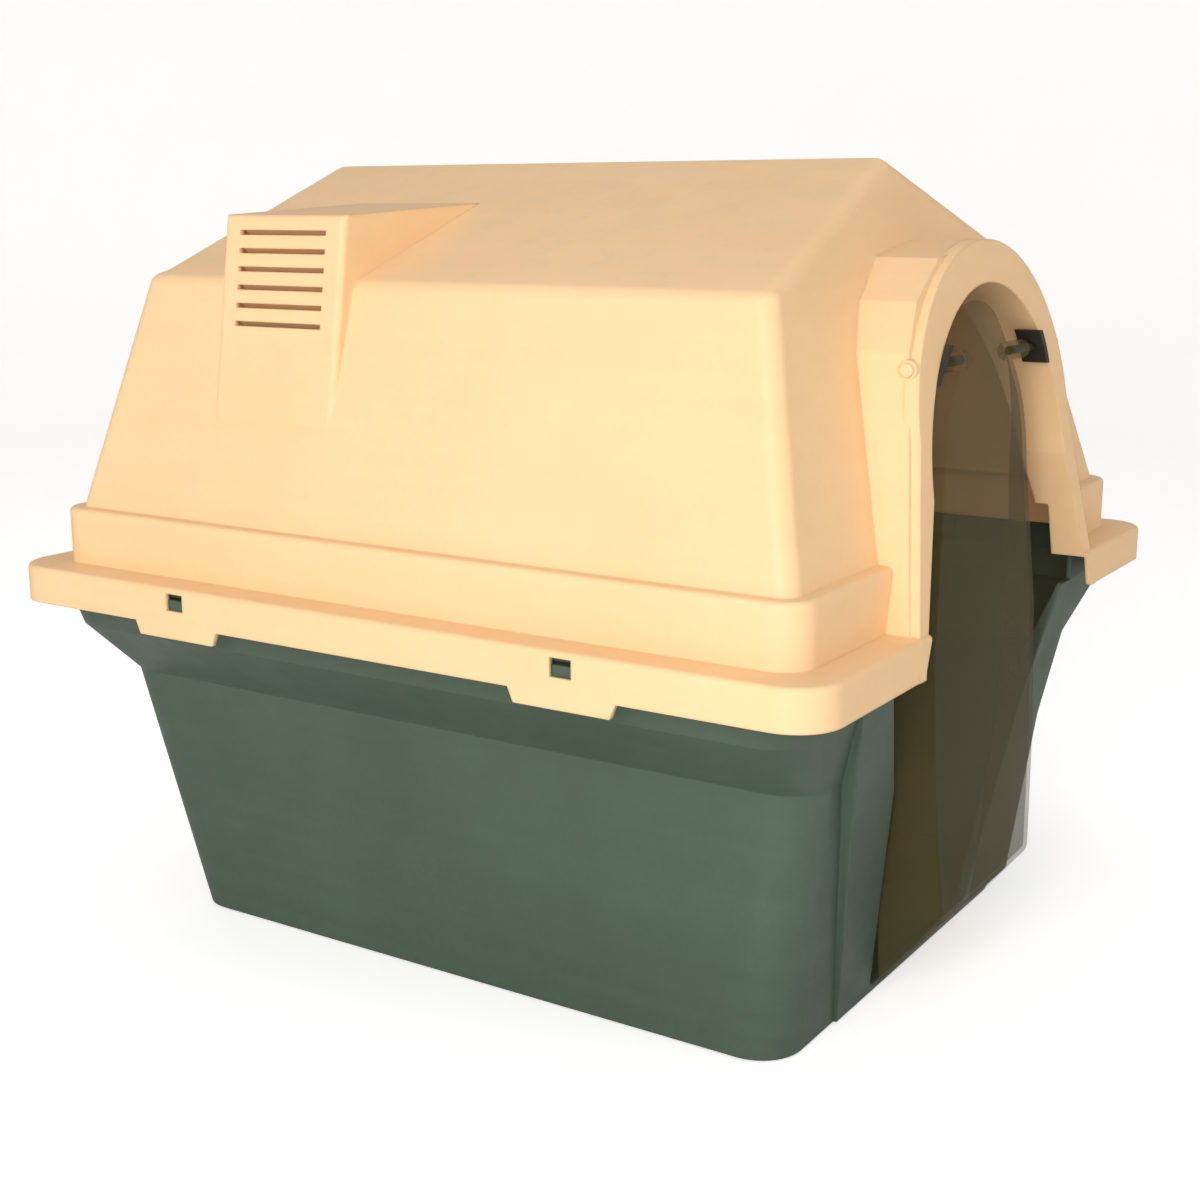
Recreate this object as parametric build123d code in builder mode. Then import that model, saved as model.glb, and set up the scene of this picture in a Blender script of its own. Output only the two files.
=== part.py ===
from build123d import *
import os

os.makedirs("parts", exist_ok=True)

# ---- overall sizes ----
rim_width = 850.0            # across the outward rim, X
rim_length = 896.0           # front to back over the rim, Y
rim_bottom = 347.0           # underside of the rim skirt
rim_height = 36.0            # skirt underside to rim top
eave_height = 664.0
roof_rise = 113.0            # eave to ridge
skin = 5.0                   # wall thickness of the upper shell
tub_skin = 5.0               # wall thickness of the base tub
seat_gap = 0.3               # gap left between resting faces
run_gap = 0.35               # gap around sliding pieces

rim_top = rim_bottom + rim_height
ridge_height = eave_height + roof_rise

# ---- upper shell: each tier is set in from the one below ----
rim_corner = 42.0
band_corner = 30.0
band_rise = 55.0             # band height above the rim
band_half_width = rim_width / 2 - 36.0
band_front = rim_length / 2 - 35.0
band_rear = rim_length / 2 - 33.0
band_top = rim_top + band_rise
wall_half_width = band_half_width - 13.0
wall_front = band_front - 13.0
wall_rear = band_rear - 14.0
eave_half_width = wall_half_width - 68.0
eave_front = wall_front - 59.0
eave_rear = wall_rear - 44.0
ridge_front = eave_front - 54.0
ridge_rear = eave_rear + 26.0
house_round = 17.0
edge_round = 4.5             # top edges of band and rim, less than the wall
tab_width = 106.0
tab_slope = 6.0
tab_drop = 13.0
tab_offset = 218.0           # tab centre from the middle, along Y
window_width = 21.0
window_height = 16.5
window_bottom = rim_bottom + 14.0

# ---- doorway tunnel through the portal ----
tunnel_foot_half = 222.0
tunnel_half = 172.0          # half width at the springing of the arch
tunnel_spring_z = rim_bottom + 142.0
tunnel_rise = 175.5          # springing to crown
tunnel_top_z = tunnel_spring_z + tunnel_rise

# ---- portal that stands out of the front gable ----
portal_foot_y = rim_length / 2 + 1.0
portal_lean = 0.14           # front face leans back per mm of height
portal_foot_half = tunnel_foot_half + 14.0
portal_mid_half = tunnel_half + 21.0
portal_mid_z = tunnel_spring_z + 50.0
portal_hip_half = tunnel_half + 3.0
portal_hip_z = tunnel_spring_z + 123.0
portal_shoulder_half = portal_hip_half - 26.0
portal_shoulder_z = portal_hip_z + 41.0
portal_cap_half = portal_shoulder_half - 57.0
portal_cap_z = portal_shoulder_z + 35.0
portal_top_z = portal_cap_z + 13.0
band_step = 9.0              # the arched front band stands this far ahead
arch_half = portal_mid_half - 3.0
arch_spring_z = portal_mid_z
arch_top_z = portal_top_z + 2.0

# ---- vent hoods ----
hood_middle_y = 160.0
hood_width = 148.0
hood_top_z = eave_height + 60.0
hood_face_x = eave_half_width + 10.0
hood_face_lean = 0.15
hood_foot_z = hood_top_z - 200.0
hood_round = 6.0
slot_count = 6
slot_pitch = 16.8
slot_height = 4.5
slot_length = 106.0
slot_middle_z = hood_top_z - 58.0

# ---- base tub: neck, flare, shoulder and foot, each set in from the rim ----
tub_bottom = 2.0
tub_floor = 6.0
tub_corner = 42.0
lip_out = 22.0               # outward lip that carries the shell
lip_top = rim_top - skin - seat_gap
neck_half_width = rim_width / 2 - 30.0
neck_front = rim_length / 2 - 28.0
neck_rear = rim_length / 2 - 28.0
flare_z = rim_bottom - 29.0
flare_half_width = neck_half_width - 11.0
flare_front = neck_front - 10.0
flare_rear = neck_rear - 2.0
shoulder_z = flare_z - 61.0
shoulder_half_width = flare_half_width - 66.0
shoulder_front = flare_front - 19.0
shoulder_rear = flare_rear - 5.0
foot_half_width = shoulder_half_width - 19.0
foot_front = shoulder_front - 31.0
foot_rear = shoulder_rear - 69.0
surround_half_top = portal_foot_half + 42.0
surround_half_foot = surround_half_top - 88.0
surround_foot_y = foot_front + 3.0
surround_lean = 0.16
surround_depth = 40.0

# ---- doorway in the tub ----
gate_sill_z = 10.0
gate_low_half = 120.0
gate_corner = 8.0
gate_mid_half = 162.0
gate_mid_z = 225.0
gate_top_half = tunnel_foot_half - 8.0
gate_top_z = rim_bottom - 12.0

# ---- swing door ----
door_skin = 3.0
door_gap = 4.5               # free space between door edge and tub doorway
door_arch_gap = 40.0         # free space between door edge and portal arch
door_bottom_z = gate_sill_z + 3.0
door_knee_z = rim_bottom
door_spring_half = tunnel_half - door_arch_gap
door_spring_z = tunnel_spring_z
door_top_z = tunnel_top_z - 16.5
door_depth = 64.5            # back edge to raised face
door_back_y = portal_foot_y - 77.0
door_back_lean = 0.03
door_face_y = door_back_y + door_depth
door_face_lean = 0.05
face_low_half = gate_low_half - 6.0
face_bottom_z = door_bottom_z + 75.0
face_half = gate_mid_half - 33.0
face_half_z = gate_mid_z - 10.0
face_spring_half = door_spring_half - 26.0
face_top_z = door_top_z - 30.0
door_corner = 10.0

# ---- door pivot ----
pivot_z = tunnel_top_z - 66.0
pivot_y = 45.0 - portal_foot_y
pin_radius = 4.0
pin_head_radius = 6.0
pin_head_thick = 4.0
pin_seat_x = portal_hip_half + 6.0
pillar_radius = pin_radius + 4.5
boss_radius = pin_radius + 5.0
boss_half = door_spring_half - 37.0
pin_tip_x = boss_half - 32.0
block_height = 33.0
block_depth = 25.0
block_thick = 7.0            # pad on the tunnel wall

# ---- small pieces ----
lug_width = window_width - 1.5
lug_height = 17.0
lug_bottom = window_bottom - 7.0
lug_out_x = rim_width / 2 - 2.4
pad_radius = 20.0
pad_thick = 4.2
pad_x = foot_half_width - 64.0
pad_y = foot_rear - 74.0
plug_radius = 14.0
plug_flange_radius = plug_radius + 7.0
plug_y = 210.0
perch_y = 130.0
perch_z = 205.0
perch_radius = 15.0
perch_half_length = foot_half_width - 9.0
cup_wall = 6.0
cup_length = 34.0

upward = (Align.CENTER, Align.CENTER, Align.MIN)


def wedge(side_x, side_z, front, rear, inset, bottom, round_radius):
    """Gabled body cut from a cross profile and a long profile."""
    foot, eave = side_x
    foot_z, eave_z, top_z = side_z
    with BuildPart() as body:
        with BuildSketch(Plane.XZ) as across:
            with BuildLine():
                Polyline(
                    (-foot, foot_z), (-eave, eave_z), (0, top_z), (eave, eave_z), (foot, foot_z), close=True,
                )
            make_face()
            if inset:
                offset(amount=-inset, kind=Kind.INTERSECTION)
        extrude(amount=900, both=True)
        with BuildSketch(Plane.YZ) as along:
            with BuildLine():
                Polyline(
                    (-front[0], foot_z), (-front[1], eave_z), (-front[2], top_z + 30),
                    (rear[2], top_z + 30), (rear[1], eave_z), (rear[0], foot_z), close=True,
                )
            make_face()
            if inset:
                offset(amount=-inset, kind=Kind.INTERSECTION)
        extrude(amount=900, both=True, mode=Mode.INTERSECT)
        low = body.faces().sort_by(Axis.Z)[0].edges()
        fillet([e for e in body.edges() if e not in low], radius=round_radius)
        if inset:
            floor_face = body.faces().sort_by(Axis.Z)[0]
            extrude(floor_face, amount=inset + bottom)
    return body.part


def slab(half_width, front, rear, corner, low, high, top_round=0):
    """Rounded rectangular block between two heights."""
    with BuildPart() as block:
        with BuildSketch(Plane.XY.offset(low)):
            with Locations((0, (rear - front) / 2)):
                RectangleRounded(2 * half_width, front + rear, corner)
        extrude(amount=high - low)
        if top_round:
            fillet(block.edges().group_by(Axis.Z)[-1], radius=top_round)
    return block.part


def tub_section(z, half_width, front, rear, corner):
    """One level section of the tub."""
    with BuildSketch(Plane.XY.offset(z)) as level:
        with Locations((0, (rear - front) / 2)):
            RectangleRounded(2 * half_width, front + rear, corner)
    return level.sketch


def tub_body(inset, foot_level, top_level):
    """Tub volume as three straight-sided tiers."""
    levels = [
        (foot_level, foot_half_width - inset, foot_front - inset, foot_rear - inset),
        (shoulder_z, shoulder_half_width - inset, shoulder_front - inset, shoulder_rear - inset),
        (flare_z, flare_half_width - inset, flare_front - inset, flare_rear - inset),
        (rim_bottom, neck_half_width - inset, neck_front - inset, neck_rear - inset),
        (top_level, neck_half_width - inset, neck_front - inset, neck_rear - inset),
    ]
    with BuildPart() as body:
        for low, high in zip(levels, levels[1:]):
            pair = [tub_section(*low, tub_corner - inset).face(), tub_section(*high, tub_corner - inset).face()]
            loft(pair, ruled=True)
    return body.part


def arch_prism(foot_half, foot_z, spring_half, spring_z, top_z, grow):
    """Doorway prism along Y, ahead of the middle: straight legs and a half ellipse."""
    lean = (foot_half - spring_half) / (spring_z - foot_z)
    low = foot_z - 60
    wide = foot_half + lean * 60 + grow
    near = spring_half + grow
    with BuildPart() as prism:
        with BuildSketch(Plane.XZ):
            with BuildLine():
                Polyline((near, spring_z), (wide, low), (-wide, low), (-near, spring_z))
                EllipticalCenterArc((0, spring_z), near, top_z - spring_z + grow, start_angle=0, arc_size=180)
            make_face()
        extrude(amount=560)
    return prism.part


def leaning_front(front_y, lean, low, high, back_y):
    """Block whose front face leans back, used to trim the portal."""
    with BuildPart() as block:
        with BuildSketch(Plane.YZ):
            with BuildLine():
                Polyline(
                    (-(front_y - lean * (low - rim_bottom)), low),
                    (-(front_y - lean * (high - rim_bottom)), high),
                    (-back_y, high), (-back_y, low), close=True,
                )
            make_face()
        extrude(amount=500, both=True)
    return block.part


def portal_body(inset, front_y, low):
    """Faceted doorway body that stands ahead of the gable."""
    with BuildPart() as body:
        add(leaning_front(front_y, portal_lean, low, arch_top_z + 57, portal_foot_y - 149))
        with BuildSketch(Plane.XZ):
            with BuildLine():
                half = [
                    (portal_foot_half + 14, rim_bottom - 60), (portal_mid_half, portal_mid_z),
                    (portal_hip_half, portal_hip_z), (portal_shoulder_half, portal_shoulder_z),
                    (portal_cap_half, portal_cap_z), (0, portal_top_z),
                ]
                Polyline(*half, *[(-x, z) for x, z in half[-2::-1]], close=True)
            make_face()
            if inset:
                offset(amount=-inset, kind=Kind.INTERSECTION)
        extrude(amount=900, both=True, mode=Mode.INTERSECT)
    return body.part


def arch_band(front_y, depth):
    """Arched band on the front of the portal."""
    with BuildPart() as band:
        add(leaning_front(front_y, portal_lean, rim_bottom, arch_top_z + 57, portal_foot_y - 64))
        outline = (portal_foot_half, rim_bottom, arch_half, arch_spring_z, arch_top_z)
        add(arch_prism(*outline, 0), mode=Mode.INTERSECT)
        behind = (rim_bottom - 1, arch_top_z + 58, portal_foot_y - 249)
        add(leaning_front(front_y - depth, portal_lean, *behind), mode=Mode.SUBTRACT)
    return band.part


def hood_body(inset, side):
    """Vent hood that runs from the wall up into the roof slope."""
    foot_x = hood_face_x + hood_face_lean * (hood_top_z - hood_foot_z)
    with BuildPart() as body:
        with BuildSketch(Plane.XZ.offset(-hood_middle_y)):
            with BuildLine():
                Polyline(
                    (-hood_face_x + inset, hood_top_z - inset), (-foot_x + inset, hood_foot_z + inset),
                    (-250, hood_foot_z + inset), (-60, hood_top_z + 14 - inset), close=True,
                )
            make_face()
        extrude(amount=hood_width / 2 - inset, both=True)
        if not inset:
            face_edges = body.faces().sort_by(Axis.X)[0].edges()
            fillet(face_edges.filter_by(lambda e: e.center().Z > hood_foot_z + 5), radius=hood_round)
        if side > 0:
            mirror(about=Plane.YZ, mode=Mode.REPLACE)
    return body.part


house_x = (wall_half_width, eave_half_width)
house_z = (band_top - 4, eave_height, ridge_height)
house_front = (wall_front, eave_front, ridge_front)
house_rear = (wall_rear, eave_rear, ridge_rear)

tunnel = (tunnel_foot_half, rim_bottom, tunnel_half, tunnel_spring_z, tunnel_top_z)


def portal_hollow():
    """Space between the portal's outer walls and the tunnel lining, around the pin seats."""
    with BuildPart() as hollow:
        add(portal_body(skin, portal_foot_y - band_step - skin, rim_bottom - 30))
        add(arch_prism(*tunnel, skin), mode=Mode.SUBTRACT)
        add(wedge(house_x, house_z, house_front, house_rear, 0, 0, house_round), mode=Mode.SUBTRACT)
        for side in (-1, 1):
            with Locations(Plane(origin=(side * pin_seat_x, pivot_y, pivot_z), z_dir=(-side, 0, 0))):
                Cylinder(
                    pillar_radius, 60, align=upward, mode=Mode.SUBTRACT,
                )
    return hollow.part


def door_surround():
    """Raised frame around the doorway of the tub."""
    with BuildPart() as surround:
        with BuildSketch(Plane.YZ):
            with BuildLine():
                Polyline(
                    (-surround_foot_y, tub_bottom), (-surround_foot_y - surround_lean * rim_bottom, rim_bottom),
                    (surround_depth - surround_foot_y - surround_lean * rim_bottom, rim_bottom),
                    (surround_depth - surround_foot_y, tub_bottom), close=True,
                )
            make_face()
        extrude(amount=500, both=True)
        with BuildSketch(Plane.XZ):
            with BuildLine():
                Polyline(
                    (-surround_half_foot, tub_bottom), (-surround_half_top, rim_bottom),
                    (surround_half_top, rim_bottom), (surround_half_foot, tub_bottom), close=True,
                )
            make_face()
        extrude(amount=900, both=True, mode=Mode.INTERSECT)
    return surround.part


# ---- upper shell ----
with BuildPart() as roof_shell:
    add(wedge(house_x, house_z, house_front, house_rear, 0, 0, house_round))
    add(slab(band_half_width, band_front, band_rear, band_corner, rim_top - skin, band_top, edge_round))
    add(slab(rim_width / 2, rim_length / 2, rim_length / 2, rim_corner, rim_bottom, rim_top, edge_round))
    for side in (-1, 1):
        add(hood_body(0, side))
        with BuildSketch(Plane.YZ.offset(side * rim_width / 2)):
            for tab_y in (-tab_offset, tab_offset):
                near = tab_y - tab_width / 2
                far = tab_y + tab_width / 2
                low = rim_bottom - tab_drop
                with BuildLine():
                    Polyline(
                        (near, rim_bottom + 1), (near + tab_slope, low),
                        (far - tab_slope, low), (far, rim_bottom + 1), close=True,
                    )
                make_face()
        extrude(amount=-side * skin)
    add(portal_body(0, portal_foot_y - band_step, rim_bottom))
    add(arch_band(portal_foot_y, band_step + skin))
    # seats and bores for the door pins, cut while the portal is still solid
    for side in (-1, 1):
        with Locations(Plane(origin=(side * pin_seat_x, pivot_y, pivot_z), z_dir=(-side, 0, 0))):
            Cylinder(pillar_radius, 60, align=upward)
            Cylinder(
                pin_radius + run_gap, 80, align=upward, mode=Mode.SUBTRACT,
            )
    add(wedge(house_x, house_z, house_front, house_rear, skin, 60, house_round - skin), mode=Mode.SUBTRACT)
    inner_band = (band_half_width - skin, band_front - skin, band_rear - skin, band_corner - skin)
    inner_rim = (rim_width / 2 - skin, rim_length / 2 - skin, rim_length / 2 - skin, rim_corner - skin)
    add(slab(*inner_band, 300, band_top - skin), mode=Mode.SUBTRACT)
    add(slab(*inner_rim, 300, rim_top - skin), mode=Mode.SUBTRACT)
    add(portal_hollow(), mode=Mode.SUBTRACT)
    add(arch_prism(*tunnel, 0), mode=Mode.SUBTRACT)
    for side in (-1, 1):
        add(hood_body(skin, side), mode=Mode.SUBTRACT)
        for row in range(slot_count):
            slot_z = slot_middle_z + (row - (slot_count - 1) / 2) * slot_pitch
            with Locations((side * hood_face_x, hood_middle_y, slot_z)):
                Box(60, slot_length, slot_height, mode=Mode.SUBTRACT)
        for tab_y in (-tab_offset, tab_offset):
            with Locations((side * rim_width / 2, tab_y, window_bottom + window_height / 2)):
                Box(4 * skin, window_width, window_height, mode=Mode.SUBTRACT)
roof_shell.part.label = "roof_shell"
export_step(roof_shell.part, "parts/roof_shell.step")

# ---- base tub ----
lug_y = (-tab_offset, tab_offset)
pad_spots = [(x, y) for x in (-pad_x, pad_x) for y in (-pad_y, pad_y)]
with BuildPart() as base_tub:
    add(tub_body(0, tub_bottom, lip_top))
    lip = (neck_half_width + lip_out, neck_front + lip_out, neck_rear + lip_out, tub_corner)
    add(slab(*lip, lip_top - tub_skin, lip_top))
    add(door_surround())
    add(tub_body(tub_skin, tub_bottom + tub_floor, lip_top + 2), mode=Mode.SUBTRACT)
    with BuildSketch(Plane.XZ.offset(surround_foot_y - surround_depth - 23)):
        with BuildLine():
            Polyline(
                (-gate_low_half, gate_sill_z), (-gate_mid_half, gate_mid_z), (-gate_top_half, gate_top_z),
                (-gate_top_half - 6, lip_top + 5), (gate_top_half + 6, lip_top + 5),
                (gate_top_half, gate_top_z), (gate_mid_half, gate_mid_z),
                (gate_low_half, gate_sill_z), close=True,
            )
        sill = make_face()
        low_points = sill.vertices().group_by(Axis.Y)[0]
        fillet(low_points, radius=gate_corner)
    extrude(amount=200, mode=Mode.SUBTRACT)
    # room for the portal legs of the shell
    with Locations((0, 49 - portal_foot_y, rim_bottom - seat_gap)):
        Box(2 * portal_foot_half + 16, 120, 60, align=upward, mode=Mode.SUBTRACT)
    for side in (-1, 1):
        for y in lug_y:
            with Locations((side * neck_half_width, y, lug_bottom + lug_height / 2)):
                Box(4 * tub_skin, lug_width + 2 * run_gap, lug_height + 2 * run_gap, mode=Mode.SUBTRACT)
    with Locations(*[(x, y, tub_bottom) for x, y in pad_spots]):
        Cylinder(
            pad_radius + run_gap, pad_thick + seat_gap - tub_bottom,
            align=upward, mode=Mode.SUBTRACT,
        )
    with Locations((0, plug_y, tub_bottom)):
        Cylinder(plug_radius + run_gap, 4 * tub_floor, mode=Mode.SUBTRACT)
base_tub.part.label = "base_tub"
export_step(base_tub.part, "parts/base_tub.step")


def door_outline(plane, low_half, low_z, mid_half, mid_z, knee_half, spring_half, top_z, inset):
    """Door outline on a leaning plane: tapered sides, half ellipse on top."""
    low = low_z + inset
    near = spring_half - inset
    with BuildSketch(plane) as outline:
        with BuildLine():
            Polyline(
                (near, door_spring_z), (knee_half - inset, door_knee_z), (mid_half - inset, mid_z),
                (low_half - inset, low), (-low_half + inset, low), (-mid_half + inset, mid_z),
                (-knee_half + inset, door_knee_z), (-near, door_spring_z),
            )
            EllipticalCenterArc(
                (0, door_spring_z), near, top_z - inset - door_spring_z, start_angle=0, arc_size=180,
            )
        outer = make_face()
        fillet(outer.vertices().group_by(Axis.Y)[0], radius=door_corner - inset)
    return outline.sketch.face()


def door_volume(inset, back_shift, face_shift):
    """Solid between the door's back plane and its face plane."""
    back = Plane(origin=(0, -door_back_y + back_shift, 0), x_dir=(1, 0, 0), z_dir=(0, -1, -door_back_lean))
    face = Plane(origin=(0, -door_face_y + face_shift, 0), x_dir=(1, 0, 0), z_dir=(0, -1, door_face_lean))
    wide = gate_mid_half - door_gap
    back_sides = (gate_low_half - door_gap + 2, door_bottom_z, wide, gate_mid_z, wide + 2, door_spring_half)
    face_sides = (face_low_half, face_bottom_z, face_half, face_half_z, face_half + 1, face_spring_half)
    back_face = door_outline(back, *back_sides, door_top_z, inset)
    front_face = door_outline(face, *face_sides, face_top_z, inset)
    with BuildPart() as volume:
        loft([back_face, front_face], ruled=True)
    return volume.part


# ---- swing door ----
with BuildPart() as swing_door:
    add(door_volume(0, 0, 0))
    add(door_volume(door_skin, 1, door_skin), mode=Mode.SUBTRACT)
    for side in (-1, 1):
        with Locations(Plane(origin=(side * boss_half, pivot_y, pivot_z), z_dir=(-side, 0, 0))):
            Cylinder(boss_radius, boss_half - pin_tip_x + 8, align=upward)
        with Locations(Plane(origin=(side * (pin_tip_x - 1), pivot_y, pivot_z), z_dir=(side, 0, 0))):
            Cylinder(
                pin_radius + run_gap, boss_half, align=upward, mode=Mode.SUBTRACT,
            )
swing_door.part.label = "swing_door"
export_step(swing_door.part, "parts/swing_door.step")

# ---- door pins and hinge blocks, one of each per side ----
for side, name in ((-1, "left"), (1, "right")):
    with BuildPart() as pivot_pin:
        with Locations(Plane(origin=(side * pin_tip_x, pivot_y, pivot_z), z_dir=(side, 0, 0))):
            Cylinder(pin_radius, pin_seat_x + seat_gap - pin_tip_x, align=upward)
        with Locations(Plane(origin=(side * (pin_seat_x + seat_gap), pivot_y, pivot_z), z_dir=(side, 0, 0))):
            Cylinder(pin_head_radius, pin_head_thick, align=upward)
        fillet(pivot_pin.edges().group_by(Axis.X)[-1 if side > 0 else 0], radius=1.5)
    pivot_pin.part.label = "pivot_pin_" + name
    export_step(pivot_pin.part, "parts/pivot_pin_" + name + ".step")

    with BuildPart() as hinge_block:
        with Locations((side * boss_half, pivot_y, pivot_z)):
            Box(
                80, block_depth, block_height,
                align=(Align.MIN if side > 0 else Align.MAX, Align.CENTER, Align.CENTER),
            )
        add(arch_prism(*tunnel, -seat_gap), mode=Mode.INTERSECT)
        add(arch_prism(*tunnel, -seat_gap - block_thick), mode=Mode.SUBTRACT)
        with Locations((side * boss_half, pivot_y, pivot_z)):
            Cylinder(pin_radius + run_gap, 200, rotation=(0, 90, 0), mode=Mode.SUBTRACT)
    hinge_block.part.label = "hinge_block_" + name
    export_step(hinge_block.part, "parts/hinge_block_" + name + ".step")

# ---- four snap lugs, pressed inwards to free the shell ----
lug_root = neck_half_width - tub_skin - seat_gap
lug_body_x = rim_width / 2 - skin - 0.5
nose_height = lug_bottom + lug_height - window_bottom - 0.5
for side, side_name in ((-1, "left"), (1, "right")):
    outward = Align.MIN if side > 0 else Align.MAX
    inward = Align.MAX if side > 0 else Align.MIN
    for y, end_name in zip(lug_y, ("front", "rear")):
        with BuildPart() as snap_lug:
            with Locations((side * lug_root, y, lug_bottom)):
                Box(lug_body_x - lug_root, lug_width, lug_height, align=(outward, Align.CENTER, Align.MIN))
            with Locations((side * lug_root, y, lug_bottom + lug_height)):
                Box(lug_out_x - lug_root, lug_width, nose_height, align=(outward, Align.CENTER, Align.MAX))
            with Locations((side * lug_root, y, lug_bottom + lug_height / 2)):
                Box(4, lug_width + 8, lug_height + 6, align=(inward, Align.CENTER, Align.CENTER))
        name = "snap_lug_" + end_name + "_" + side_name
        snap_lug.part.label = name
        export_step(snap_lug.part, "parts/" + name + ".step")

# ---- four rubber foot pads ----
with BuildPart() as foot_pads:
    with Locations(*[(x, y, 0) for x, y in pad_spots]):
        Cylinder(pad_radius, pad_thick, align=upward)
    chamfer(foot_pads.edges().group_by(Axis.Z)[0], length=1.0)
foot_pads.part.label = "foot_pads"
export_step(foot_pads.part, "parts/foot_pads.step")

# ---- drain plug with a finger bar ----
plug_seat = tub_bottom + tub_floor + seat_gap
with BuildPart() as drain_plug:
    with Locations((0, plug_y, tub_bottom + 0.5)):
        Cylinder(plug_radius, plug_seat - tub_bottom - 0.5, align=upward)
    with Locations((0, plug_y, plug_seat)):
        Cylinder(plug_flange_radius, 3, align=upward)
        Box(26, 5, 14, align=upward)
drain_plug.part.label = "drain_plug"
export_step(drain_plug.part, "parts/drain_plug.step")

# ---- perch bar and its open cups ----
with BuildPart() as perch_bar:
    with Locations((0, perch_y, perch_z)):
        Cylinder(perch_radius, 2 * perch_half_length, rotation=(0, 90, 0))
    chamfer(perch_bar.edges(), length=2.0)
perch_bar.part.label = "perch_bar"
export_step(perch_bar.part, "parts/perch_bar.step")

groove = perch_radius + seat_gap
for side, name in ((-1, "left"), (1, "right")):
    with BuildPart() as perch_cup:
        with Locations((side * (perch_half_length - cup_length), perch_y, perch_z - groove - cup_wall)):
            Box(
                90, 2 * (groove + cup_wall), 2 * groove + cup_wall,
                align=(Align.MIN if side > 0 else Align.MAX, Align.CENTER, Align.MIN),
            )
        add(tub_body(tub_skin + seat_gap, tub_bottom + tub_floor, lip_top), mode=Mode.INTERSECT)
        with Locations((0, perch_y, perch_z)):
            Cylinder(groove, 2 * (perch_half_length + 1), rotation=(0, 90, 0), mode=Mode.SUBTRACT)
            Box(
                2 * (perch_half_length + 1), 2 * groove, 60,
                align=upward, mode=Mode.SUBTRACT,
            )
    perch_cup.part.label = "perch_cup_" + name
    export_step(perch_cup.part, "parts/perch_cup_" + name + ".step")
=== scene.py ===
import bpy
import bmesh
import math
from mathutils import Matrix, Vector


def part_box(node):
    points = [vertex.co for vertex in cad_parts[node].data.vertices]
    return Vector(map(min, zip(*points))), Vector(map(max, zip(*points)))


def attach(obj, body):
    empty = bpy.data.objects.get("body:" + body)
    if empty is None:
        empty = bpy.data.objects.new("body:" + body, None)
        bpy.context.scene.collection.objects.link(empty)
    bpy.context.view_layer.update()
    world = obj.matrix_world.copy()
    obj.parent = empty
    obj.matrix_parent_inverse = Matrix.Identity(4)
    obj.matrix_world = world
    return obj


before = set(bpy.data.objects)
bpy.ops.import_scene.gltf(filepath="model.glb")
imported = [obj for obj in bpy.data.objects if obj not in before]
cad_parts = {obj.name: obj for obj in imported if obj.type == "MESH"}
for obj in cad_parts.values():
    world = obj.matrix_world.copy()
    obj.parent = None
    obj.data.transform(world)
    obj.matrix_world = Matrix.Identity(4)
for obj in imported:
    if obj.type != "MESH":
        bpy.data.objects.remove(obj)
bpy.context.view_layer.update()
print("frame loaded:", len(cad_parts), "nodes")

scene = bpy.context.scene
scene.view_settings.view_transform = "Standard"
scene.view_settings.look = "None"


# the camera comes first; place in metres, turns in radians, lens and sensor in millimetres
cameraSet = {
    "place": (-1.5393, -0.9734, 0.7306), "tilt": math.pi / 2 - 0.2226, "turn": -0.9991,
    "lens": 52.0, "sensor": 36.0, "near": 0.02,
}
cameraData = bpy.data.cameras.new("studioCamera")
cameraData.lens = cameraSet["lens"]
cameraData.sensor_width = cameraSet["sensor"]
cameraData.clip_start = cameraSet["near"]
camera = bpy.data.objects.new("studioCamera", cameraData)
camera.location = cameraSet["place"]
camera.rotation_euler = (cameraSet["tilt"], 0.0, cameraSet["turn"])
scene.collection.objects.link(camera)
scene.camera = camera
print("camera placed")


def addObject(name, data):
    made = bpy.data.objects.new(name, data)
    scene.collection.objects.link(made)
    return made


weldDistance = 1e-6  # metres


def meshFrom(name, bm, smooth=True):
    # weld, turn the faces outwards and hand the mesh over
    bmesh.ops.remove_doubles(bm, verts=bm.verts, dist=weldDistance)
    bmesh.ops.recalc_face_normals(bm, faces=bm.faces)
    mesh = bpy.data.meshes.new(name)
    bm.to_mesh(mesh)
    bm.free()
    if smooth:
        for face in mesh.polygons:
            face.use_smooth = True
    return mesh


def newGroup(name, inputs, outputs):
    # inputs are (label, kind, default), outputs are (label, kind)
    group = bpy.data.node_groups.new(name, "ShaderNodeTree")
    for label, kind, default in inputs:
        socket = group.interface.new_socket(
            label, in_out="INPUT", socket_type="NodeSocket" + kind)
        if default is not None:
            socket.default_value = default
    for label, kind in outputs:
        group.interface.new_socket(
            label, in_out="OUTPUT", socket_type="NodeSocket" + kind)
    ins = group.nodes.new("NodeGroupInput")
    outs = group.nodes.new("NodeGroupOutput")
    return group, ins, outs


def link(tree, start, end):
    tree.links.new(start, end)


def mathNode(tree, operation, first, second, clamp=False):
    node = tree.nodes.new("ShaderNodeMath")
    node.operation = operation
    node.use_clamp = clamp
    for slot, value in enumerate((first, second)):
        if value is None:
            continue
        if isinstance(value, (int, float)):
            node.inputs[slot].default_value = value
        else:
            link(tree, value, node.inputs[slot])
    return node.outputs[0]


def noise(tree, vector, scale, detail=3.0, rough=0.55):
    node = tree.nodes.new("ShaderNodeTexNoise")
    node.inputs["Detail"].default_value = detail
    node.inputs["Roughness"].default_value = rough
    link(tree, vector, node.inputs["Vector"])
    if isinstance(scale, (int, float)):
        node.inputs["Scale"].default_value = scale
    else:
        link(tree, scale, node.inputs["Scale"])
    return node.outputs["Fac"]


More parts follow.
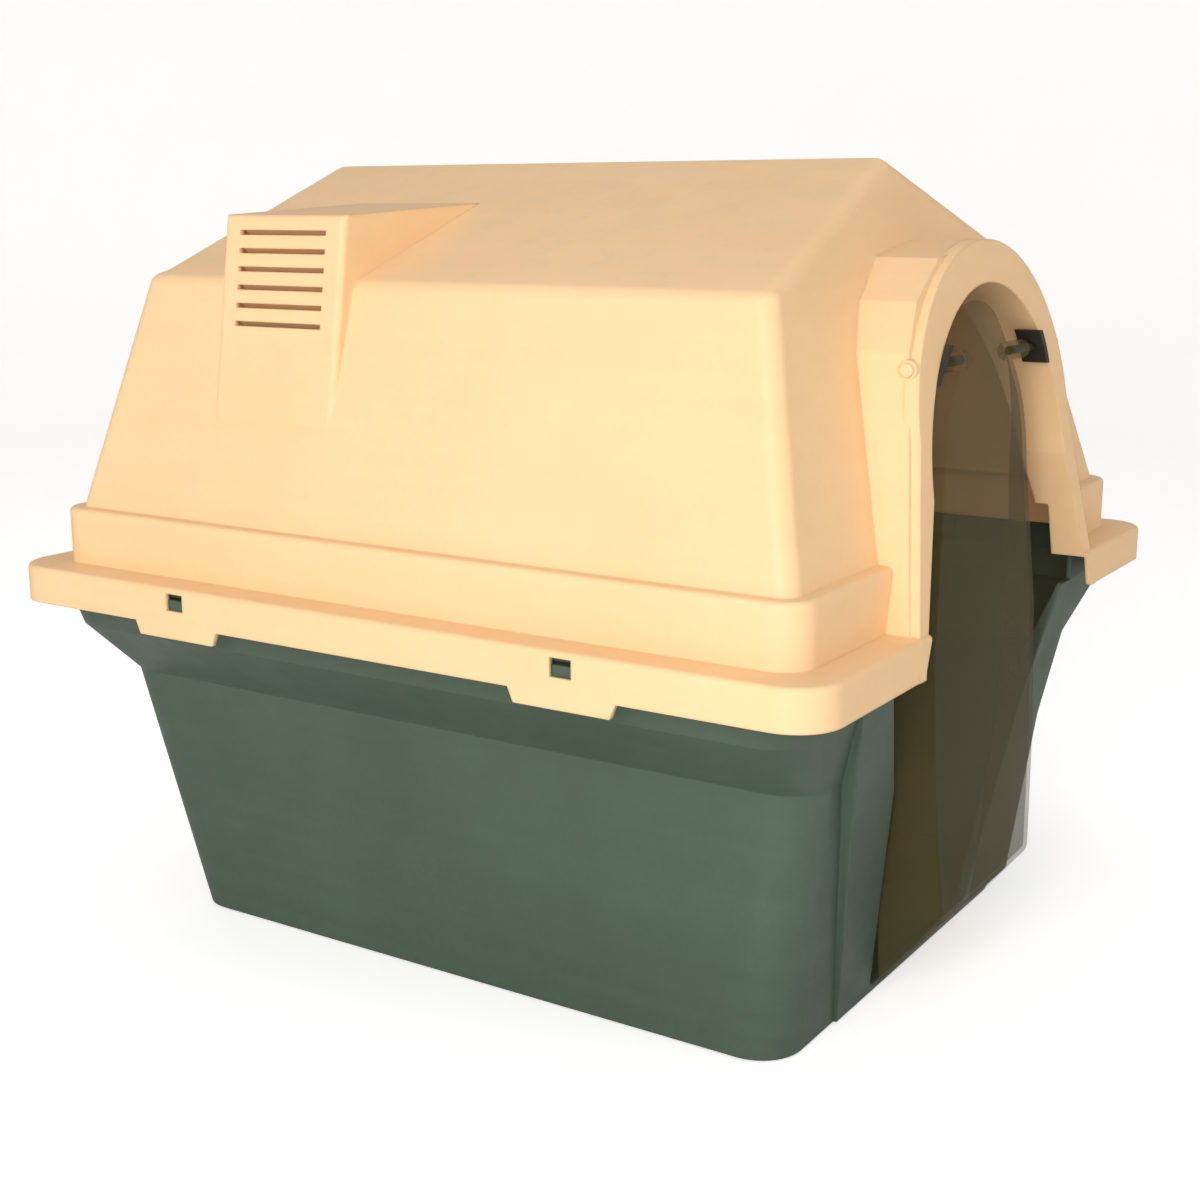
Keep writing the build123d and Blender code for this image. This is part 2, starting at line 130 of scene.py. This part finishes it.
def ramp(tree, value, low, high, toLow=0.0, toHigh=1.0):
    node = tree.nodes.new("ShaderNodeMapRange")
    node.inputs["From Min"].default_value = low
    node.inputs["From Max"].default_value = high
    node.inputs["To Min"].default_value = toLow
    node.inputs["To Max"].default_value = toHigh
    link(tree, value, node.inputs["Value"])
    return node.outputs["Result"]


def mixColour(tree, factor, first, second):
    node = tree.nodes.new("ShaderNodeMix")
    node.data_type = "RGBA"
    node.clamp_factor = True
    pairs = ((node.inputs[0], factor), (node.inputs[6], first), (node.inputs[7], second))
    for socket, value in pairs:
        if isinstance(value, (int, float, tuple)):
            socket.default_value = value
        else:
            link(tree, value, socket)
    return node.outputs[2]


def stretch(tree, vector, scale):
    node = tree.nodes.new("ShaderNodeMapping")
    node.inputs["Scale"].default_value = scale
    link(tree, vector, node.inputs["Vector"])
    return node.outputs["Vector"]


# soft rounding of moulded edges and a mask of where they rub
edgeSet = {
    "samples": 6, "flat": 0.995, "sharp": 0.80,
    "patchScale": 38.0, "patchLow": 0.42, "patchHigh": 0.66,
}


def buildEdgeGroup(values):
    group, ins, outs = newGroup(
        "edgeSoftness",
        [
            ("Vector", "Vector", None), ("Radius", "Float", 0.002), ("Wear", "Float", 0.4),
        ],
        [("Normal", "Vector"), ("Mask", "Float")],
    )
    bevel = group.nodes.new("ShaderNodeBevel")
    bevel.samples = values["samples"]
    link(group, ins.outputs["Radius"], bevel.inputs["Radius"])
    geometry = group.nodes.new("ShaderNodeNewGeometry")
    dot = group.nodes.new("ShaderNodeVectorMath")
    dot.operation = "DOT_PRODUCT"
    link(group, bevel.outputs["Normal"], dot.inputs[0])
    link(group, geometry.outputs["Normal"], dot.inputs[1])
    edge = ramp(group, dot.outputs["Value"], values["flat"], values["sharp"])
    cloud = noise(group, ins.outputs["Vector"], values["patchScale"], 4.0, 0.65)
    patches = ramp(group, cloud, values["patchLow"], values["patchHigh"])
    rubbed = mathNode(group, "MULTIPLY", edge, patches)
    mask = mathNode(group, "MULTIPLY", rubbed, ins.outputs["Wear"], clamp=True)
    link(group, bevel.outputs["Normal"], outs.inputs["Normal"])
    link(group, mask, outs.inputs["Mask"])
    return group


# broad and fine colour drift of moulded plastic, with faint flow lines and settled dust
mottleSet = {
    "flowStretch": (6.0, 0.8, 30.0), "flowScale": 2.2, "speckScale": 23.0,
    "broadShare": 0.6, "flowShare": 0.25, "fineShare": 0.15, "steep": 0.15, "level": 0.95,
}


def buildMottleGroup(values):
    group, ins, outs = newGroup(
        "mouldedMottle",
        [
            ("Vector", "Vector", None), ("Light", "Color", (0.8, 0.8, 0.8, 1.0)),
            ("Dark", "Color", (0.6, 0.6, 0.6, 1.0)), ("Dust", "Color", (0.7, 0.65, 0.55, 1.0)),
            ("Dust Amount", "Float", 0.1), ("Broad Scale", "Float", 5.0), ("Fine Scale", "Float", 160.0),
        ],
        [("Color", "Color"), ("Drift", "Float")],
    )
    vector = ins.outputs["Vector"]
    broad = ramp(group, noise(group, vector, ins.outputs["Broad Scale"], 4.0, 0.6), 0.33, 0.68)
    drawn = stretch(group, vector, values["flowStretch"])
    flow = ramp(group, noise(group, drawn, values["flowScale"], 3.0, 0.5), 0.3, 0.7)
    fine = ramp(group, noise(group, vector, ins.outputs["Fine Scale"], 2.0, 0.6), 0.35, 0.65)
    drift = mathNode(
        group, "ADD",
        mathNode(group, "MULTIPLY", broad, values["broadShare"]),
        mathNode(group, "MULTIPLY", flow, values["flowShare"]),
    )
    drift = mathNode(group, "ADD", drift, mathNode(group, "MULTIPLY", fine, values["fineShare"]))
    colour = mixColour(group, drift, ins.outputs["Dark"], ins.outputs["Light"])
    geometry = group.nodes.new("ShaderNodeNewGeometry")
    split = group.nodes.new("ShaderNodeSeparateXYZ")
    link(group, geometry.outputs["Normal"], split.inputs[0])
    upward = ramp(group, split.outputs["Z"], values["steep"], values["level"])
    specks = ramp(group, noise(group, vector, values["speckScale"], 6.0, 0.7), 0.46, 0.62)
    dusty = mathNode(group, "MULTIPLY", upward, specks)
    dusty = mathNode(group, "MULTIPLY", dusty, ins.outputs["Dust Amount"], clamp=True)
    link(group, mixColour(group, dusty, colour, ins.outputs["Dust"]), outs.inputs["Color"])
    link(group, drift, outs.inputs["Drift"])
    return group


# fine spark-eroded mould texture, slow waviness of a thin wall and hairline scuffs
grainSet = {
    "waveScale": 7.0, "waveHeight": 0.004, "grainHeight": 0.0004, "scuffStretch": (9.0, 160.0, 40.0),
    "scuffScale": 3.0, "patchScale": 9.0, "cloudScale": 14.0, "scuffRough": 0.2,
}


def buildGrainGroup(values):
    group, ins, outs = newGroup(
        "mouldGrain",
        [
            ("Vector", "Vector", None), ("Normal", "Vector", None), ("Grain Scale", "Float", 700.0),
            ("Grain Depth", "Float", 0.2), ("Wave Depth", "Float", 0.1), ("Scuffs", "Float", 0.3),
            ("Rough Low", "Float", 0.4), ("Rough High", "Float", 0.6),
        ],
        [("Normal", "Vector"), ("Roughness", "Float"), ("Scuff", "Float")],
    )
    vector = ins.outputs["Vector"]
    grain = noise(group, vector, ins.outputs["Grain Scale"], 2.0, 0.6)
    wave = noise(group, vector, values["waveScale"], 1.0, 0.4)
    drawn = stretch(group, vector, values["scuffStretch"])
    lines = noise(group, drawn, values["scuffScale"], 2.0, 0.5)
    patch = ramp(group, noise(group, vector, values["patchScale"], 2.0, 0.5), 0.5, 0.7)
    scuff = mathNode(group, "MULTIPLY", ramp(group, lines, 0.62, 0.72), patch)
    scuff = mathNode(group, "MULTIPLY", scuff, ins.outputs["Scuffs"], clamp=True)
    low = group.nodes.new("ShaderNodeBump")
    low.inputs["Distance"].default_value = values["waveHeight"]
    link(group, ins.outputs["Wave Depth"], low.inputs["Strength"])
    link(group, wave, low.inputs["Height"])
    link(group, ins.outputs["Normal"], low.inputs["Normal"])
    high = group.nodes.new("ShaderNodeBump")
    high.inputs["Distance"].default_value = values["grainHeight"]
    link(group, ins.outputs["Grain Depth"], high.inputs["Strength"])
    link(group, mathNode(group, "SUBTRACT", grain, scuff), high.inputs["Height"])
    link(group, low.outputs["Normal"], high.inputs["Normal"])
    cloudy = ramp(group, noise(group, vector, values["cloudScale"], 4.0, 0.6), 0.3, 0.7)
    span = mathNode(group, "SUBTRACT", ins.outputs["Rough High"], ins.outputs["Rough Low"])
    rough = mathNode(group, "ADD", mathNode(group, "MULTIPLY", cloudy, span), ins.outputs["Rough Low"])
    scuffed = mathNode(group, "MULTIPLY", scuff, values["scuffRough"])
    rough = mathNode(group, "ADD", rough, scuffed, clamp=True)
    link(group, high.outputs["Normal"], outs.inputs["Normal"])
    link(group, rough, outs.inputs["Roughness"])
    link(group, scuff, outs.inputs["Scuff"])
    return group


edgeGroup = buildEdgeGroup(edgeSet)
mottleGroup = buildMottleGroup(mottleSet)
grainGroup = buildGrainGroup(grainSet)
print("shared effects built")


def useGroup(tree, group, values):
    node = tree.nodes.new("ShaderNodeGroup")
    node.node_tree = group
    for label, value in values.items():
        if isinstance(value, (int, float, tuple)):
            node.inputs[label].default_value = value
        else:
            link(tree, value, node.inputs[label])
    return node


def startMaterial(name):
    material = bpy.data.materials.new(name)
    material.use_nodes = True
    tree = material.node_tree
    shader = tree.nodes["Principled BSDF"]
    coords = tree.nodes.new("ShaderNodeTexCoord")
    return material, tree, shader, coords.outputs["Object"]


def mouldedPlastic(name, look):
    # a look holds every colour and depth of one moulded finish
    material, tree, shader, vector = startMaterial(name)
    edge = useGroup(tree, edgeGroup, {
        "Vector": vector, "Radius": look["edgeRadius"], "Wear": look["wear"],
    })
    mottle = useGroup(tree, mottleGroup, {
        "Vector": vector, "Light": look["light"], "Dark": look["dark"],
        "Dust": look["dust"], "Dust Amount": look["dustAmount"],
        "Broad Scale": look["broadScale"], "Fine Scale": look["fineScale"],
    })
    grain = useGroup(tree, grainGroup, {
        "Vector": vector, "Normal": edge.outputs["Normal"],
        "Grain Scale": look["grainScale"], "Grain Depth": look["grainDepth"],
        "Wave Depth": look["waveDepth"], "Scuffs": look["scuffs"],
        "Rough Low": look["roughLow"], "Rough High": look["roughHigh"],
    })
    colour = mixColour(tree, edge.outputs["Mask"], mottle.outputs["Color"], look["worn"])
    colour = mixColour(tree, grain.outputs["Scuff"], colour, look["worn"])
    link(tree, colour, shader.inputs["Base Color"])
    link(tree, grain.outputs["Roughness"], shader.inputs["Roughness"])
    link(tree, grain.outputs["Normal"], shader.inputs["Normal"])
    shader.inputs["IOR"].default_value = look["ior"]
    shader.inputs["Specular IOR Level"].default_value = look["shine"]
    return material


# one look for each finish: colours are linear, radii are metres
creamLook = {
    "light": (0.95, 0.645, 0.36, 1.0), "dark": (0.89, 0.585, 0.31, 1.0), "worn": (0.97, 0.76, 0.50, 1.0),
    "dust": (0.78, 0.60, 0.38, 1.0), "dustAmount": 0.25, "broadScale": 4.5, "fineScale": 180.0,
    "edgeRadius": 0.0035, "wear": 0.35, "grainScale": 620.0, "grainDepth": 0.16, "waveDepth": 0.05,
    "scuffs": 0.12, "roughLow": 0.46, "roughHigh": 0.60, "shine": 0.4, "ior": 1.48,
}
greenLook = {
    "light": (0.068, 0.109, 0.073, 1.0), "dark": (0.050, 0.080, 0.053, 1.0), "worn": (0.13, 0.20, 0.15, 1.0),
    "dust": (0.16, 0.18, 0.13, 1.0), "dustAmount": 0.15, "broadScale": 5.0, "fineScale": 200.0,
    "edgeRadius": 0.0035, "wear": 0.45, "grainScale": 560.0, "grainDepth": 0.20, "waveDepth": 0.06,
    "scuffs": 0.16, "roughLow": 0.40, "roughHigh": 0.55, "shine": 0.5, "ior": 1.48,
}
blackLook = {
    "light": (0.040, 0.034, 0.026, 1.0), "dark": (0.022, 0.018, 0.014, 1.0), "worn": (0.13, 0.11, 0.09, 1.0),
    "dust": (0.16, 0.13, 0.10, 1.0), "dustAmount": 0.2, "broadScale": 30.0, "fineScale": 400.0,
    "edgeRadius": 0.0015, "wear": 0.5, "grainScale": 900.0, "grainDepth": 0.3, "waveDepth": 0.05,
    "scuffs": 0.2, "roughLow": 0.5, "roughHigh": 0.68, "shine": 0.3, "ior": 1.48,
}
pinLook = dict(
    creamLook, light=(0.90, 0.66, 0.38, 1.0), dark=(0.78, 0.55, 0.30, 1.0), edgeRadius=0.0008,
    broadScale=60.0, grainScale=1200.0, roughLow=0.35, roughHigh=0.48,
    shaft=(0.035, 0.029, 0.020, 1.0), fade=0.0015,
)
rubberLook = dict(
    blackLook, light=(0.05, 0.05, 0.048, 1.0), dark=(0.03, 0.03, 0.029, 1.0), edgeRadius=0.001,
    roughLow=0.65, roughHigh=0.85, shine=0.25, grainScale=500.0, dustAmount=0.35,
)
smokeLook = {
    "light": (0.118, 0.096, 0.038, 1.0), "dark": (0.095, 0.078, 0.031, 1.0), "worn": (0.30, 0.23, 0.12, 1.0),
    "dust": (0.55, 0.47, 0.35, 1.0), "dustAmount": 0.06, "broadScale": 6.0, "fineScale": 120.0,
    "edgeRadius": 0.0012, "wear": 0.35, "grainScale": 260.0, "grainDepth": 0.01, "waveDepth": 0.05,
    "scuffs": 0.1, "roughLow": 0.14, "roughHigh": 0.22, "shine": 0.3,
    "ior": 1.25, "cover": 0.35,
}
woodLook = {
    "pale": (0.52, 0.34, 0.18, 1.0), "deep": (0.30, 0.17, 0.08, 1.0), "pore": (0.12, 0.07, 0.04, 1.0),
    "along": (0.6, 9.0, 9.0), "ringScale": 46.0 / 9.0, "ringBend": 3.5, "poreStretch": (6.0, 90.0, 90.0),
    "poreScale": 5.0, "poreShare": 0.6, "smooth": 0.55, "open": 0.8, "depth": 0.35, "height": 0.0006,
}


def smokedPlastic(name, look):
    # a tinted clear sheet: each face hides only its share of what lies behind
    material = mouldedPlastic(name, look)
    shader = material.node_tree.nodes["Principled BSDF"]
    shader.inputs["Alpha"].default_value = look["cover"]
    return material


def pivotPlastic(name, look):
    # cream head outside the portal, dark shaft from the hinge pad inwards
    material = mouldedPlastic(name, look)
    tree = material.node_tree
    shader = tree.nodes["Principled BSDF"]
    headColour = shader.inputs["Base Color"].links[0].from_socket
    coords = tree.nodes.new("ShaderNodeTexCoord")
    split = tree.nodes.new("ShaderNodeSeparateXYZ")
    link(tree, coords.outputs["Object"], split.inputs[0])
    across = mathNode(tree, "ABSOLUTE", split.outputs["X"], None)
    padBack = max(abs(corner[0]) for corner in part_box("hinge_block_left"))
    shaft = ramp(tree, across, padBack, padBack + look["fade"], 1.0, 0.0)
    link(tree, mixColour(tree, shaft, headColour, look["shaft"]), shader.inputs["Base Color"])
    return material


def barWood(name, look):
    material, tree, shader, vector = startMaterial(name)
    # growth rings drawn out along the bar, with open pores
    along = stretch(tree, vector, look["along"])
    rings = tree.nodes.new("ShaderNodeTexWave")
    rings.wave_type = "RINGS"
    rings.rings_direction = "X"
    rings.inputs["Scale"].default_value = look["ringScale"]
    rings.inputs["Distortion"].default_value = look["ringBend"]
    rings.inputs["Detail"].default_value = 3.0
    link(tree, along, rings.inputs["Vector"])
    colour = mixColour(tree, rings.outputs["Fac"], look["deep"], look["pale"])
    drawn = stretch(tree, vector, look["poreStretch"])
    pores = ramp(tree, noise(tree, drawn, look["poreScale"], 3.0, 0.6), 0.58, 0.70)
    darker = mathNode(tree, "MULTIPLY", pores, look["poreShare"])
    colour = mixColour(tree, darker, colour, look["pore"])
    link(tree, colour, shader.inputs["Base Color"])
    rough = ramp(tree, pores, 0.0, 1.0, look["smooth"], look["open"])
    link(tree, rough, shader.inputs["Roughness"])
    bump = tree.nodes.new("ShaderNodeBump")
    bump.inputs["Strength"].default_value = look["depth"]
    bump.inputs["Distance"].default_value = look["height"]
    link(tree, mathNode(tree, "SUBTRACT", rings.outputs["Fac"], pores), bump.inputs["Height"])
    link(tree, bump.outputs["Normal"], shader.inputs["Normal"])
    return material


materialOf = {
    "creamShell": mouldedPlastic("creamShell", creamLook),
    "greenTub": mouldedPlastic("greenTub", greenLook),
    "blackBlock": mouldedPlastic("blackBlock", blackLook),
    "pinCream": pivotPlastic("pinCream", pinLook),
    "darkRubber": mouldedPlastic("darkRubber", rubberLook),
    "smokedDoor": smokedPlastic("smokedDoor", smokeLook),
    "barWood": barWood("barWood", woodLook),
}
finishOf = {
    "roof_shell": "creamShell", "base_tub": "greenTub", "swing_door": "smokedDoor",
    "pivot_pin": "pinCream", "hinge_block": "blackBlock", "snap_lug": "greenTub",
    "foot_pads": "darkRubber", "drain_plug": "darkRubber", "perch_bar": "barWood",
    "perch_cup": "greenTub",
}  # by the start of the node's name
for nodeName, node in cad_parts.items():
    finish = next(value for key, value in finishOf.items() if nodeName.startswith(key))
    node.data.materials.clear()
    node.data.materials.append(materialOf[finish])
print("finishes placed")


# thin sloping blades behind the vent slots, in metres
louvreSet = {
    "count": 6, "pitch": 0.0168, "middle": 0.666, "length": 0.110, "y": 0.160,
    "faceX": 0.318, "lean": 0.15, "topZ": 0.724, "skin": 0.0056, "reach": 0.012,
    "drop": 0.008, "thick": 0.0012, "rise": 0.0034, "edge": 0.0004, "edgeSteps": 2,
}


def buildLouvres(name, side, values):
    bm = bmesh.new()
    for row in range(values["count"]):
        slotZ = values["middle"] + (row - (values["count"] - 1) / 2) * values["pitch"]
        faceX = values["faceX"] + values["lean"] * (values["topZ"] - slotZ) - values["skin"]
        top = slotZ + values["rise"]
        half = values["length"] / 2
        corners = [
            (side * faceX, values["y"] - half, top), (side * faceX, values["y"] + half, top),
            (side * (faceX - values["reach"]), values["y"] + half, top - values["drop"]),
            (side * (faceX - values["reach"]), values["y"] - half, top - values["drop"]),
        ]
        face = bm.faces.new([bm.verts.new(corner) for corner in corners])
        bmesh.ops.solidify(bm, geom=[face], thickness=values["thick"])
    bmesh.ops.bevel(
        bm, geom=bm.edges[:], offset=values["edge"], segments=values["edgeSteps"], profile=0.5,
        affect="EDGES", material=-1, offset_type="OFFSET",
    )
    piece = addObject(name, meshFrom(name, bm, smooth=False))
    piece.data.materials.append(materialOf["creamShell"])
    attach(piece, "house")


buildLouvres("vent_louvres_left", -1, louvreSet)
buildLouvres("vent_louvres_right", 1, louvreSet)
print("louvres made")


# a round pale sweep; profile is (radius, height) in metres from the middle out
studioSet = {
    "profile": [(0.001, 0.0), (4.2, 0.0), (5.0, 0.22), (5.45, 1.0), (5.6, 3.4)], "steps": 72,
    "floorColour": (0.90, 0.895, 0.885, 1.0), "shade": 0.985, "toneScale": 3.0, "rough": 0.8, "shine": 0.1,
    "glow": 0.52, "glowColour": (1.0, 0.995, 0.985, 1.0),
    "world": 0.40, "backdrop": 1.0, "skyColour": (1.0, 0.99, 0.975, 1.0),
}


def buildFloor(values):
    bm = bmesh.new()
    last = None
    for across, up in values["profile"]:
        vert = bm.verts.new((across, 0.0, up))
        if last is not None:
            bm.edges.new((last, vert))
        last = vert
    bmesh.ops.spin(
        bm, geom=bm.verts[:] + bm.edges[:], axis=(0, 0, 1), cent=(0, 0, 0),
        angle=2 * math.pi, steps=values["steps"], use_merge=True,
    )
    mesh = meshFrom("studioFloor", bm)
    mesh.flip_normals()  # seen from inside
    floor = addObject("studioFloor", mesh)
    material, tree, shader, vector = startMaterial("paleFloor")
    tone = ramp(tree, noise(tree, vector, values["toneScale"], 2.0, 0.5), 0.3, 0.7)
    shade = tuple(value * values["shade"] for value in values["floorColour"][:3]) + (1.0,)
    colour = mixColour(tree, tone, shade, values["floorColour"])
    link(tree, colour, shader.inputs["Base Color"])
    shader.inputs["Roughness"].default_value = values["rough"]
    shader.inputs["Specular IOR Level"].default_value = values["shine"]
    # the glow shows to the camera only, so it doesn't light the house from below
    seen = tree.nodes.new("ShaderNodeLightPath")
    shader.inputs["Emission Color"].default_value = values["glowColour"]
    glow = mathNode(tree, "MULTIPLY", seen.outputs["Is Camera Ray"], values["glow"])
    link(tree, glow, shader.inputs["Emission Strength"])
    mesh.materials.append(material)


# place and aim in metres, size across in metres, power in watts
lampSet = {
    "keySoftbox": {
        "place": (-2.9, -0.85, 1.15), "aim": (0.0, 0.0, 0.45), "size": 2.0, "power": 65.0,
        "colour": (1.0, 0.985, 0.96),
    },
    "frontSoftbox": {
        "place": (0.2, -3.1, 1.5), "aim": (0.0, 0.0, 0.4), "size": 2.0, "power": 16.0,
        "colour": (1.0, 1.0, 1.0),
    },
    "topSoftbox": {
        "place": (0.2, 0.6, 3.2), "aim": (0.0, 0.0, 0.4), "size": 2.4, "power": 10.0,
        "colour": (1.0, 1.0, 1.0),
    },
}
# daylight that soaks through the pale shell, as one weak warm lamp under the ridge
shellGlowSet = {
    "place": (0.0, 0.06, 0.60), "radius": 0.12, "power": 0.65, "colour": (1.0, 0.86, 0.62),
}


def addLamp(name, data, values):
    data.energy = values["power"]
    data.color = values["colour"]
    lamp = addObject(name, data)
    lamp.location = values["place"]
    return lamp


def addSoftbox(name, values):
    data = bpy.data.lights.new(name, "AREA")
    data.shape = "DISK"
    data.size = values["size"]
    lamp = addLamp(name, data, values)
    beam = Vector(values["aim"]) - Vector(values["place"])
    lamp.rotation_euler = beam.to_track_quat("-Z", "Y").to_euler()


def addShellGlow(name, values):
    data = bpy.data.lights.new(name, "POINT")
    data.shadow_soft_size = values["radius"]
    lamp = addLamp(name, data, values)
    lamp.visible_camera = False
    lamp.visible_glossy = False


buildFloor(studioSet)
for lampName, lampValues in lampSet.items():
    addSoftbox(lampName, lampValues)
addShellGlow("shellGlow", shellGlowSet)
world = bpy.data.worlds.new("studioWorld")
world.use_nodes = True
sky = world.node_tree
skyPath = sky.nodes.new("ShaderNodeLightPath")
skyLevel = ramp(
    sky, skyPath.outputs["Is Camera Ray"], 0.0, 1.0, studioSet["world"], studioSet["backdrop"])
sky.nodes["Background"].inputs["Color"].default_value = studioSet["skyColour"]
link(sky, skyLevel, sky.nodes["Background"].inputs["Strength"])
scene.world = world
print("studio lit")
